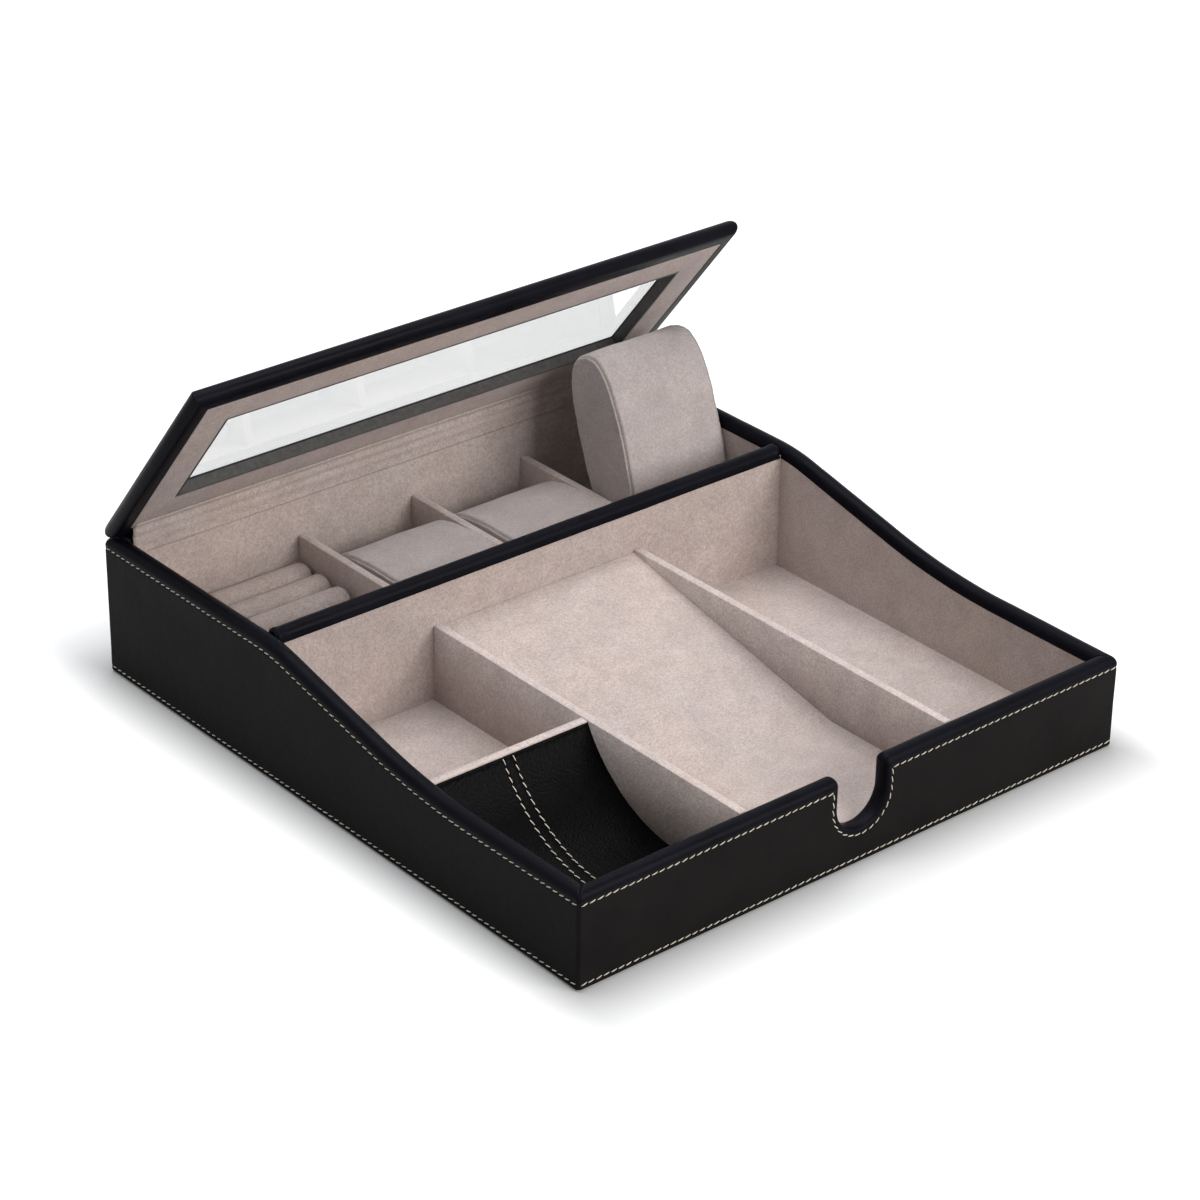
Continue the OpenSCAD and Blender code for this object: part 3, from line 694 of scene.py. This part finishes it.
def front_top_lines():
    z = RIM_LOW - TOP_LINE
    out = Vector((0.0, -1.0, 0.0))

    def at(x, zz):
        return (Vector(front_place(x, LINE_OUT, zz)), out)

    left = [at(x, z) for x in spread(-SIDE_X + LINE_END, -STITCH_HALF, 3.0)]
    right = [at(-p[0].x, z) for p in left[::-1]]
    notch = [at(-STITCH_HALF, z - (z - NOTCH_Z) * k / 6) for k in range(7)]
    notch += [at(-STITCH_HALF * math.cos(a), NOTCH_Z - STITCH_HALF * math.sin(a))
              for a in [math.pi * k / 36 for k in range(1, 36)]]
    notch += [at(STITCH_HALF, NOTCH_Z + (z - NOTCH_Z) * k / 6) for k in range(7)]
    return [(left, 0.0), (notch, 0.2), (right, 0.0)]


thread_piece("left_stitching", [(side_line(left_place, -1, TOP_LINE, True), 0.0),
                                (side_line(left_place, -1, BOTTOM_LINE, False), 0.0)])
thread_piece("right_stitching", [(side_line(right_place, 1, TOP_LINE, True), 0.0),
                                 (side_line(right_place, 1, BOTTOM_LINE, False), 0.0)])
thread_piece("back_stitching", [(cross_line(back_place, 1, BOTTOM_LINE), 0.0)])
thread_piece("front_stitching", front_top_lines() + [(cross_line(front_place, -1, BOTTOM_LINE), 0.0)])


# Coin scoop
def scoop_point(angle, radius):
    return SCOOP_LOW_Y + radius * math.sin(angle), SCOOP_LOW + SCOOP_RADIUS - radius * math.cos(angle)


SCOOP_SIDE_GAP, SCOOP_TOP_STEPS = 0.15, 7
SEAM_STEPS = (-1.4, -1.0, -0.7, -0.45, -0.2, 0.0, 0.2, 0.45, 0.7, 1.0, 1.4)


def scoop_lift(x, run):
    """How far the leather stands off the scoop's board: waves, pinched seams, a raised lip, low sides."""
    lift = soft_noise(x, run, 3.0, 18.0, 0.22) + soft_noise(x, run, 9.0, 6.0, 0.06)
    ripple = 0.75 + 0.25 * math.cos(2 * math.pi * run / STITCH_PITCH)
    for line in SCOOP_LINES:
        lift -= 0.34 * math.exp(-((x - line) / 0.6) ** 2) * ripple
    middle = sum(SCOOP_LINES) / 2
    lift += 0.28 * max(0.0, 1 - ((x - middle) / 2.3) ** 2)
    edge = min(x - SCOOP_X0, SCOOP_X1 - x)
    return lift - 0.35 * max(0.0, 1 - edge / 1.2) ** 2


def coin_scoop():
    """The scoop's leather, over its bowl, round its top edge and back underneath."""
    a_end = math.atan2(SCOOP_REACH, SCOOP_RADIUS - SCOOP_RISE)
    a_start = -math.asin(min(1.0, (SCOOP_LOW_Y + INNER_Y - 0.1) / (SCOOP_RADIUS + 0.3)))
    angles = spread(a_start, a_end - 0.035, 0.02)
    x0, x1 = SCOOP_X0 + SCOOP_SIDE_GAP, SCOOP_X1 - SCOOP_SIDE_GAP
    dense = [line + q for line in SCOOP_LINES for q in SEAM_STEPS]
    plain_xs = [x for x in spread(x0, x1, 1.6) if all(abs(x - q) > 2.0 for q in SCOOP_LINES)]
    xs = sorted(set(dense + plain_xs + [x0, SCOOP_X0 + 0.6, SCOOP_X1 - 0.6, x1]))
    under = [scoop_point(a, SCOOP_RADIUS + SCOOP_THICK - 0.1) for a in angles[::-1]][3:]
    top_y, top_z = CROSS_Y - 0.1, DIVIDER_TOP
    verts = []
    for x in xs:
        column = [(x, *scoop_point(a, SCOOP_RADIUS - scoop_lift(x, SCOOP_RADIUS * a))) for a in angles]
        _, y1, z1 = column[-1]
        for u in range(1, SCOOP_TOP_STEPS):
            b = math.pi * u / SCOOP_TOP_STEPS
            column.append((x, y1 + (top_y - y1) * (1 - math.cos(b)) / 2,
                           z1 + 0.55 * math.sin(b) + (top_z - 0.9 - z1) * u / SCOOP_TOP_STEPS))
        column += [(x, min(y, CROSS_Y - 0.05), max(z, FLOOR_TOP - 1.1)) for y, z in under]
        verts += column
    faces = grid_faces(len(xs), len(column))
    return make_piece("scoop_leather", verts, faces, SCOOP_LEATHER, "box"), angles


scoop, scoop_angles = coin_scoop()
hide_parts("coin_scoop")
seam_angles = scoop_angles[2:] + [scoop_angles[-1] + 0.02]
scoop_runs = []
for line_x in SCOOP_LINES:
    points = [(Vector((line_x, *scoop_point(a, SCOOP_RADIUS + 0.1))),
               Vector((0.0, -math.sin(a), math.cos(a))))
              for a in seam_angles]
    scoop_runs.append((points, 0.05))
thread_piece("scoop_stitching", scoop_runs)


# Pillows
SEAM_END_STEPS = (0.0, 0.2, 0.42, 0.7, 1.05, 1.5, 2.1, 3.0, 4.4)
CAP_RINGS = ((1.10, 0.12), (0.35, 0.42), (0.30, 0.72), (0.80, 0.98), (1.6, 0.94), (2.6, 0.86))
CAP_BULGE, CAP_SHARES = 1.5, (0.93, 0.84, 0.72, 0.57, 0.40, 0.20)
PILLOW_SIDES = 160


def pillow_mesh(seed, thick, power, crown):
    """A stuffed roll along X at the origin: a sleeve with two sewn-in end caps."""
    half = PILLOW_VISIBLE_WIDTH / 2
    seam = half - CAP_BULGE
    sleeve = graded(seam, SEAM_END_STEPS, 6, 2.0)
    sides = PILLOW_SIDES
    turns = [2 * math.pi * (k + 0.5) / sides for k in range(sides)]
    exponent = 2 / power
    outline = []
    for turn in turns:
        c, s = math.cos(turn), math.sin(turn)
        outline.append((math.copysign(abs(c) ** exponent, c) * PILLOW_LENGTH / 2,
                        math.copysign(abs(s) ** exponent, s) * thick / 2))
    normals = []
    for k in range(sides):
        (y0, z0), (y1, z1) = outline[k - 1], outline[(k + 1) % sides]
        n = Vector((z1 - z0, y0 - y1)).normalized()
        normals.append((n.x, n.y))

    def ring(x, shrink):
        out = []
        edge = seam - abs(x)
        side = math.copysign(3.0, x)
        for (y, z), (ny, nz) in zip(outline, normals):
            # gathers run in from the seams and die out over some millimetres
            gathers = noise.noise(Vector((y / 3.1, z / 3.1, seed + side)))
            gather = 0.30 * math.exp(-max(edge, 0.0) / 4.5) * gathers
            sag = soft_noise(x + seed * 40, y, z, 24.0, 0.42) + soft_noise(x - seed * 30, y, z, 9.0, 0.14)
            d = -shrink + gather + sag - 0.18
            wander = 0.18 * noise.noise(Vector((y / 12, z / 12, seed + side)))
            swell = crown * max(0.0, 1 - (2 * y / PILLOW_LENGTH) ** 2) * (1 - 0.5 * abs(x / half) ** 3)
            out.append((x + wander, y + ny * d, z + nz * d + (swell if z > 0 else 0.0)))
        return out

    def cap(sign):
        base = ring(sign * seam, 0.80)
        out = []
        for inset, rise in CAP_RINGS:
            out.append([(p[0] + sign * rise, p[1] - normals[k][0] * inset, p[2] - normals[k][1] * inset)
                        for k, p in enumerate(base)])
        rim = out[-1]
        for share in CAP_SHARES:
            dome = 0.86 + (CAP_BULGE - 0.86) * (1 - share ** 2.2)
            row = []
            for p in rim:
                spot = Vector((p[1] * share / 15, p[2] * share / 15, seed * 5.0 + sign))
                wobble = 0.22 * noise.noise(spot)
                row.append((sign * (seam + dome + wobble * (1 - share)), p[1] * share, p[2] * share))
            out.append(row)
        return out

    rings = cap(-1)[::-1]
    for x in sleeve:
        edge = seam - abs(x)
        rings.append(ring(x, 1.75 * math.exp(-(edge / 0.52) ** 2) + 0.16 * math.exp(-edge / 3.0)))
    rings += cap(1)
    verts = [p for row in rings for p in row]
    count = len(rings)
    tips = (len(verts), len(verts) + 1)
    verts.append((rings[0][0][0], 0.0, 0.0))
    verts.append((rings[-1][0][0], 0.0, 0.0))
    faces = tube_faces(0, count, sides)
    for k in range(sides):
        faces.append((tips[0], (k + 1) % sides, k))
        faces.append((tips[1], (count - 1) * sides + k, (count - 1) * sides + (k + 1) % sides))
    return verts, faces


def pillow(name, node, seed, tilt=0.0, thick=PILLOW_THICK, power=PILLOW_POWER, crown=0.0):
    """A pillow in the place of its node. A greater thickness is added on top."""
    lo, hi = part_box(node)
    cx, cy = (lo.x + hi.x) / 2 / MM, (lo.y + hi.y) / 2 / MM
    cz = (lo.z + hi.z) / 2 / MM + (thick - PILLOW_THICK) / 2
    verts, faces = pillow_mesh(seed, thick, power, crown)
    c, s = math.cos(tilt), math.sin(tilt)
    placed = [(x + cx, cy + y * c - z * s, cz + y * s + z * c) for x, y, z in verts]
    piece = make_piece(name, placed, faces, PILLOW_SUEDE, node)
    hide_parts(node)


# The photo shows the lying pillows fuller than their solids
pillow("watch_pillow_1", "pillow_1", 1, thick=LYING_THICK, power=LYING_POWER, crown=LYING_CROWN)
pillow("watch_pillow_2", "pillow_2", 2, thick=LYING_THICK, power=LYING_POWER, crown=LYING_CROWN)
pillow("watch_pillow_3", "pillow_3", 3, tilt=PILLOW_TILT)


# Ring rolls
RING_END_STEPS = (0.0, 0.35, 0.9, 1.7, 2.8, 4.2)
RING_END, RING_END_GAP, RING_SIDES = RING_END_STEPS[-1], 0.2, 28


def ring_end_share(e):
    """Radius of a roll at e from its rounded end, as a share of its own."""
    return 0.30 + 0.70 * math.sqrt(1 - (1 - e / RING_END) ** 2) if e < RING_END else 1.0


def ring_rolls():
    """Seven stuffed rolls side by side, on a block that fills the space under them."""
    lo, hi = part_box("ring_roll_pad")
    x0, x1, y0, y1 = lo.x / MM, hi.x / MM, lo.y / MM, hi.y / MM
    r = (y1 - y0) / RING_COUNT / 2
    sides = RING_SIDES
    places = [(x0 + RING_END_GAP + e, ring_end_share(e)) for e in RING_END_STEPS]
    places += [(x, 1.0) for x in spread(x0 + 6.4, x1 - 6.4, 2.0)]
    places += [(x1 - RING_END_GAP - e, ring_end_share(e)) for e in RING_END_STEPS[::-1]]
    verts, faces = [], []
    for i in range(RING_COUNT):
        base = len(verts)
        cy, cz = y0 + r * (2 * i + 1), RING_TOP - r
        for x, share in places:
            for k in range(sides):
                a = 2 * math.pi * k / sides
                wobble = soft_noise(x, cy * 3, a * 4, 12.0, 0.28) + soft_noise(x, cy * 3, a * 9, 4.0, 0.08)
                gather = 0.25 * (1 - share) * math.sin(a * 9 + i)
                radius = (r - 0.12) * share
                radius += min(wobble, 0.1) + gather
                verts.append((x, cy + radius * math.cos(a), cz + radius * math.sin(a)))
        last = base + (len(places) - 1) * sides
        faces += tube_faces(base, len(places), sides, flip=True)
        faces.append(tuple(base + k for k in range(sides)))
        faces.append(tuple(last + k for k in range(sides))[::-1])
    base = len(verts)
    top = RING_TOP - r - 1.0
    for z, inset in ((FLOOR_TOP, 1.0), (FLOOR_TOP + 1.2, 0.2), (top - 1.5, 0.2), (top, 1.2)):
        left, right, near, far = x0 + inset, x1 - inset, y0 + inset, y1 - inset
        verts += [(left, near, z), (right, near, z), (right, far, z), (left, far, z)]
    faces += tube_faces(base, 4, 4)
    faces.append((base + 3, base + 2, base + 1, base))
    faces.append((base + 12, base + 13, base + 14, base + 15))
    piece = make_piece("ring_rolls", verts, faces, SUEDE, "box")
    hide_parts("ring_roll_pad")


ring_rolls()


# Soft hinge
LID_COS, LID_SIN = math.cos(LID_OPEN), math.sin(LID_OPEN)
LID_HALF_THICK = 4.0


def lid_point(u, off, outer=False):
    """A point on the open lid, u forwards of the hinge axis, off from its inner or outer face."""
    h = LID_HALF_THICK + off if outer else -LID_HALF_THICK - off
    return (HINGE_Y - u * LID_COS + h * LID_SIN, HINGE_Z + u * LID_SIN + h * LID_COS)


def hinge_sheet(name, centre, half_w, thick, mat, folds=()):
    """A strip of sheet across the hinge: a closed skin round a centre line in Y and Z.

    A fold has its place along the line, its width and its height.
    """
    line = [Vector((0.0, y, z)) for y, z in centre]
    fine = []
    for i in range(len(line) - 1):
        p0 = line[max(i - 1, 0)]
        p1, p2 = line[i], line[i + 1]
        p3 = line[min(i + 2, len(line) - 1)]
        steps = max(2, round((p2 - p1).length / 0.8))
        for k in range(steps):
            t = k / steps
            fine.append(0.5 * ((2 * p1) + (p2 - p0) * t + (2 * p0 - 5 * p1 + 4 * p2 - p3) * t * t
                               + (3 * p1 - p0 - 3 * p2 + p3) * t ** 3))
    fine.append(line[-1])
    length = sum((b - a).length for a, b in zip(fine, fine[1:]))
    xs = spread(-half_w, half_w, 2.0)
    verts = []
    for x in xs:
        front, back = [], []
        run = 0.0
        for i, p in enumerate(fine):
            a, b = fine[max(i - 1, 0)], fine[min(i + 1, len(fine) - 1)]
            t = (b - a).normalized()
            n = Vector((0.0, -t.z, t.y))
            if i:
                run += (p - fine[i - 1]).length
            wave = 0.0
            for place, width, height in folds:
                here = run - place - 1.3 * noise.noise(Vector((x / 42, place, 3.0)))
                swell = 1 + 1.1 * noise.noise(Vector((x / 23, place, 7.0)))
                wave += height * swell * math.exp(-(here / width) ** 2)
            edge = min(run, length - run)
            half_t = thick / 2 * math.sqrt(min(1.0, (edge + 0.08) / 0.5))
            front.append(p + n * (wave + half_t))
            back.append(p + n * (wave - half_t))
        verts += [(x, v.y, v.z) for v in front + back[::-1]]
    ring = 2 * len(fine)
    faces = tube_faces(0, len(xs), ring)
    faces.append(tuple(range(ring))[::-1])
    faces.append(tuple(range((len(xs) - 1) * ring, len(xs) * ring)))
    piece = make_piece(name, verts, faces, mat, None)
    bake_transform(piece)
    return piece


SPINE_OUT = 0.28
inner_line = [(154.1, 57.8), (154.1, 60.5), (154.05, 63.0), (153.8, 65.0), (153.35, 67.0), (152.9, 68.6)]
inner_line += [lid_point(u, 0.25) for u in (3.6, 5.2, 7.0)]
outer_line = [(END_Y + SPINE_OUT, z) for z in (50.8, 58.0, 66.0, 71.0)]
outer_line += [(HINGE_Y + 4.3 * math.cos(a), HINGE_Z + 4.3 * math.sin(a)) for a in (0.22, 0.45)]
outer_line += [lid_point(u, 0.3, True) for u in (0.6, 4.0, 8.0, 12.0)]

inner_strip = hinge_sheet("hinge_suede", inner_line, 140.6, 0.8, SUEDE,
                          folds=((6.4, 2.3, 0.50), (9.4, 1.5, -0.42)))
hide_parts("hinge_lining")
# the spine takes the leather with the painted bluish sheen
outer_strip = hinge_sheet("spine_leather", outer_line, 141.0, 0.6, SHEEN_PAINTED_LEATHER)
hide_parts("hinge_spine")
thread_piece("spine_stitching", [([(Vector((x, END_Y + 0.6, 52.8)), Vector((0.0, 1.0, 0.0)))
                                   for x in spread(-140.0, 140.0, 4.0)], 0.5)])


# The CAD nodes that stay
def soften(obj, width):
    weld = obj.modifiers.new("weld", "WELD")
    weld.merge_threshold = 0.00002
    rounding = obj.modifiers.new("rounding", "BEVEL")
    rounding.width = width * MM
    rounding.segments = 3
    rounding.limit_method = "ANGLE"
    rounding.angle_limit = math.radians(40)
    for poly in obj.data.polygons:
        poly.use_smooth = True


def dress(names, mat, rounding=0.0):
    for name in names:
        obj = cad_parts[name]
        for material_slot in obj.material_slots:
            material_slot.material = mat
        if rounding:
            soften(obj, rounding)


dress(["left_lining", "right_lining", "front_lining", "back_lining", "centre_wall_rear_lining",
       "centre_wall_front_lining", "watch_floor_lining", "key_floor_lining", "glasses_floor_lining"], SUEDE)
# the dividers take the suede with painted light
dress(["watch_divider_left", "watch_divider_middle", "watch_divider_right", "key_divider", "cross_divider",
       "glasses_divider"], DIVIDER_SUEDE_PAINTED_LIGHT, 1.0)
dress(["phone_deck"], SUEDE, 0.5)
# the lid's lining takes the suede with painted shade
dress(["lid_lining"], LID_SUEDE_PAINTED_SHADE, 0.3)
# the lid's cover takes the leather with the painted bluish sheen
dress(["lid_cover"], SHEEN_PAINTED_LEATHER, 0.4)
dress(["window_trim"], TRIM)
dress(["lid_glass"], GLASS)
dress(["bottom_felt"], FELT, 0.4)
dress(["base_board", "left_wall_core", "right_wall_core", "front_wall_core", "back_wall_core",
       "centre_wall_core", "deck_rail"], BOARD)
dress(["lid_frame"], STAINED)


# Floor, light and camera
def seen_share(tree):
    """1 for what the camera sees, straight, mirrored or through glass, and 0 for light on other things."""
    path = tree.nodes.new("ShaderNodeLightPath")
    total = math_node(tree, "ADD", path.outputs["Is Camera Ray"], path.outputs["Is Glossy Ray"])
    total = math_node(tree, "ADD", total, path.outputs["Is Transmission Ray"])
    return math_node(tree, "MINIMUM", total, 1.0)


def beyond(tree, place, half):
    """How far a place on the floor is outside the tray along one axis."""
    past = math_node(tree, "SUBTRACT", math_node(tree, "ABSOLUTE", place, 0.0), half * MM)
    return math_node(tree, "MAXIMUM", past, 0.0)


def make_floor():
    """A white floor with a painted shadow: its glow is weaker close to the tray."""
    mesh = bpy.data.meshes.new("floor")
    corners = [(x * FLOOR_HALF, y * FLOOR_HALF, FLOOR_Z) for x, y in ((-1, -1), (1, -1), (1, 1), (-1, 1))]
    mesh.from_pydata(corners, [], [(0, 1, 2, 3)])
    floor = bpy.data.objects.new("floor", mesh)
    bpy.context.scene.collection.objects.link(floor)
    mat = bpy.data.materials.new("floor_white")
    mat.use_nodes = True
    tree = mat.node_tree
    tree.nodes.clear()
    out = tree.nodes.new("ShaderNodeOutputMaterial")
    diffuse = tree.nodes.new("ShaderNodeBsdfDiffuse")
    diffuse.inputs["Color"].default_value = (FLOOR_GREY, FLOOR_GREY, FLOOR_GREY, 1.0)
    glow = tree.nodes.new("ShaderNodeEmission")
    glow.inputs["Color"].default_value = (1.0, 1.0, 1.0, 1.0)
    coords = tree.nodes.new("ShaderNodeTexCoord")
    place = tree.nodes.new("ShaderNodeSeparateXYZ")
    tree.links.new(coords.outputs["Object"], place.inputs[0])
    out_x = math_node(tree, "MULTIPLY", beyond(tree, place.outputs["X"], SIDE_X), SIDE_FADE)
    out_y = beyond(tree, place.outputs["Y"], END_Y)
    squares = math_node(tree, "ADD", math_node(tree, "MULTIPLY", out_x, out_x),
                        math_node(tree, "MULTIPLY", out_y, out_y))
    away = math_node(tree, "SQRT", squares, 0.0)
    # the glow is weaker within reach of the tray: a painted shadow
    glow_past_painted_shadow = ramp(tree, away, 0.0, PAINTED_SHADOW_REACH, PAINTED_SHADOW_GLOW, FLOOR_FAR)
    tree.links.new(math_node(tree, "MULTIPLY", seen_share(tree), glow_past_painted_shadow), glow.inputs["Strength"])
    add = tree.nodes.new("ShaderNodeAddShader")
    tree.links.new(diffuse.outputs[0], add.inputs[0])
    tree.links.new(glow.outputs[0], add.inputs[1])
    tree.links.new(add.outputs[0], out.inputs["Surface"])
    mesh.materials.append(mat)


def make_world():
    world = bpy.data.worlds.new("studio")
    bpy.context.scene.world = world
    world.use_nodes = True
    tree = world.node_tree
    back = next(n for n in tree.nodes if n.type == "BACKGROUND")
    back.inputs["Color"].default_value = (1.0, 1.0, 1.0, 1.0)
    seen = seen_share(tree)
    strength = math_node(tree, "ADD", math_node(tree, "MULTIPLY", seen, 1.0 - AMBIENT), AMBIENT)
    tree.links.new(strength, back.inputs["Strength"])


def area_light(name, place, target, width, height, power, colour):
    data = bpy.data.lights.new(name, "AREA")
    data.shape = "RECTANGLE"
    data.size, data.size_y = width, height
    data.energy = power
    data.color = colour
    lamp = bpy.data.objects.new(name, data)
    bpy.context.scene.collection.objects.link(lamp)
    lamp.location = place
    lamp.rotation_euler = (Vector(target) - Vector(place)).to_track_quat("-Z", "Y").to_euler()


make_floor()
make_world()
area_light("overhead", place=(0.0, 0.25, 1.7), target=(0.0, 0.0, 0.0),
           width=1.7, height=1.3, power=29.0, colour=(0.95, 0.97, 1.0))
area_light("front_key", place=(0.60, -2.1, 1.15), target=(0.0, 0.0, 0.03),
           width=1.8, height=1.2, power=53.0, colour=(1.0, 0.98, 0.96))


def make_camera():
    az, el, roll = (math.radians(v) for v in (CAMERA_AZIMUTH, CAMERA_ELEVATION, CAMERA_ROLL))
    back = Vector((math.sin(az) * math.cos(el), -math.cos(az) * math.cos(el), math.sin(el)))
    right0 = (-back).cross(Vector((0, 0, 1))).normalized()
    up0 = right0.cross(-back)
    right = right0 * math.cos(roll) + up0 * math.sin(roll)
    up = up0 * math.cos(roll) - right0 * math.sin(roll)
    data = bpy.data.cameras.new("camera")
    data.sensor_width = SENSOR_MM
    data.lens = FOCAL_PX / FRAME_PX * SENSOR_MM
    data.clip_start, data.clip_end = 0.05, 60.0
    camera = bpy.data.objects.new("camera", data)
    bpy.context.scene.collection.objects.link(camera)
    turn = Matrix((right, up, back)).transposed()
    camera.matrix_world = Matrix.Translation(Vector(CAMERA_PLACE)) @ turn.to_4x4()
    bpy.context.scene.camera = camera


make_camera()
bpy.context.scene.view_settings.view_transform = "Standard"
